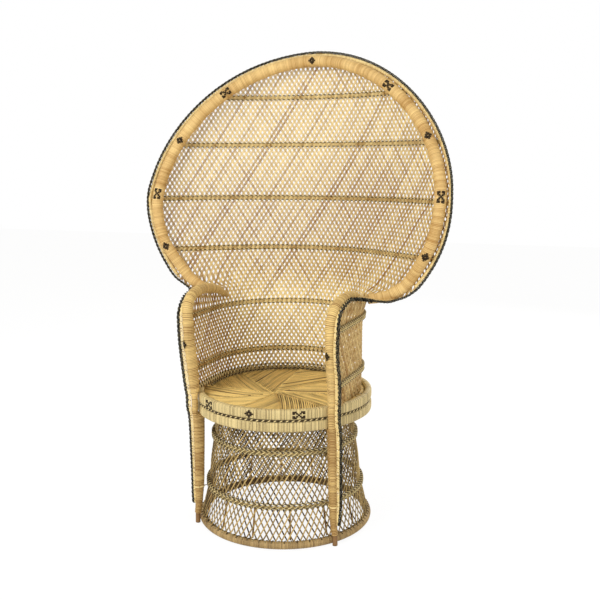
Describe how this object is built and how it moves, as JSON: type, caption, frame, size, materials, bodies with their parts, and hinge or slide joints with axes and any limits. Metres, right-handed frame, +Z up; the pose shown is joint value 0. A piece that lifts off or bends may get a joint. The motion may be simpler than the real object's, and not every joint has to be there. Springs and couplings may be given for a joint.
{
  "type": "peacock chair",
  "caption": "Rattan peacock chair: a round woven fan back on a wrap-round lower back, wrapped cane arms that run down as front legs, a round seat and an open woven skirt.",
  "frame": {"origin": "bottom centre of the chair's bounding box, on the floor", "axes": "+Z up, the sitter faces -Y, +X to the right of a viewer who faces the chair"},
  "size_m": [1.0016, 0.5748, 1.4498],
  "materials": {
    "peel_wrap": "satin",
    "pale_weave": "matt",
    "aged_weave": "matt",
    "leg_peel": "satin",
    "core_cane": "matt",
    "seat_cane": "satin",
    "dark_braid": "satin",
    "two_tone_lashing": "matt"
  },
  "bodies": {
    "root": {"base_hoop": "leg_peel", "skirt_weave": "aged_weave", "skirt_band_lower": "two_tone_lashing", "skirt_band_upper": "two_tone_lashing", "skirt_stake_01": "core_cane", "skirt_stake_02": "core_cane", "skirt_stake_03": "core_cane", "skirt_stake_04": "core_cane", "skirt_stake_05": "core_cane", "skirt_stake_06": "core_cane", "skirt_stake_07": "core_cane", "skirt_stake_08": "core_cane", "skirt_stake_09": "core_cane", "skirt_stake_10": "core_cane", "skirt_stake_11": "core_cane", "skirt_stake_12": "core_cane", "skirt_stake_13": "core_cane", "skirt_stake_14": "core_cane", "seat_rim_lower": "peel_wrap", "seat_rim_upper": "peel_wrap", "seat_rim_cord": "dark_braid", "seat_inner_hoop": "core_cane", "seat_weave": "seat_cane", "seat_brace_1": "core_cane", "seat_brace_2": "core_cane", "seat_brace_3": "core_cane", "seat_brace_4": "core_cane", "seat_back_braid": "dark_braid", "back_weave": "pale_weave", "back_band_lower": "two_tone_lashing", "back_band_neck": "two_tone_lashing", "fan_band_1": "two_tone_lashing", "fan_band_2": "two_tone_lashing", "fan_band_3": "two_tone_lashing", "fan_band_4": "two_tone_lashing", "fan_hoop_wrap": "peel_wrap", "fan_hoop_cane": "core_cane", "fan_braid": "dark_braid", "right_arm_cane": "core_cane", "left_arm_cane": "core_cane", "right_arm_wrap": "leg_peel", "left_arm_wrap": "leg_peel", "right_arm_strip": "pale_weave", "left_arm_strip": "pale_weave", "right_arm_braid": "dark_braid", "left_arm_braid": "dark_braid", "right_leg_tie": "core_cane", "left_leg_tie": "core_cane", "right_notch_knot": "dark_braid", "left_notch_knot": "dark_braid"}
  },
  "joints": []
}
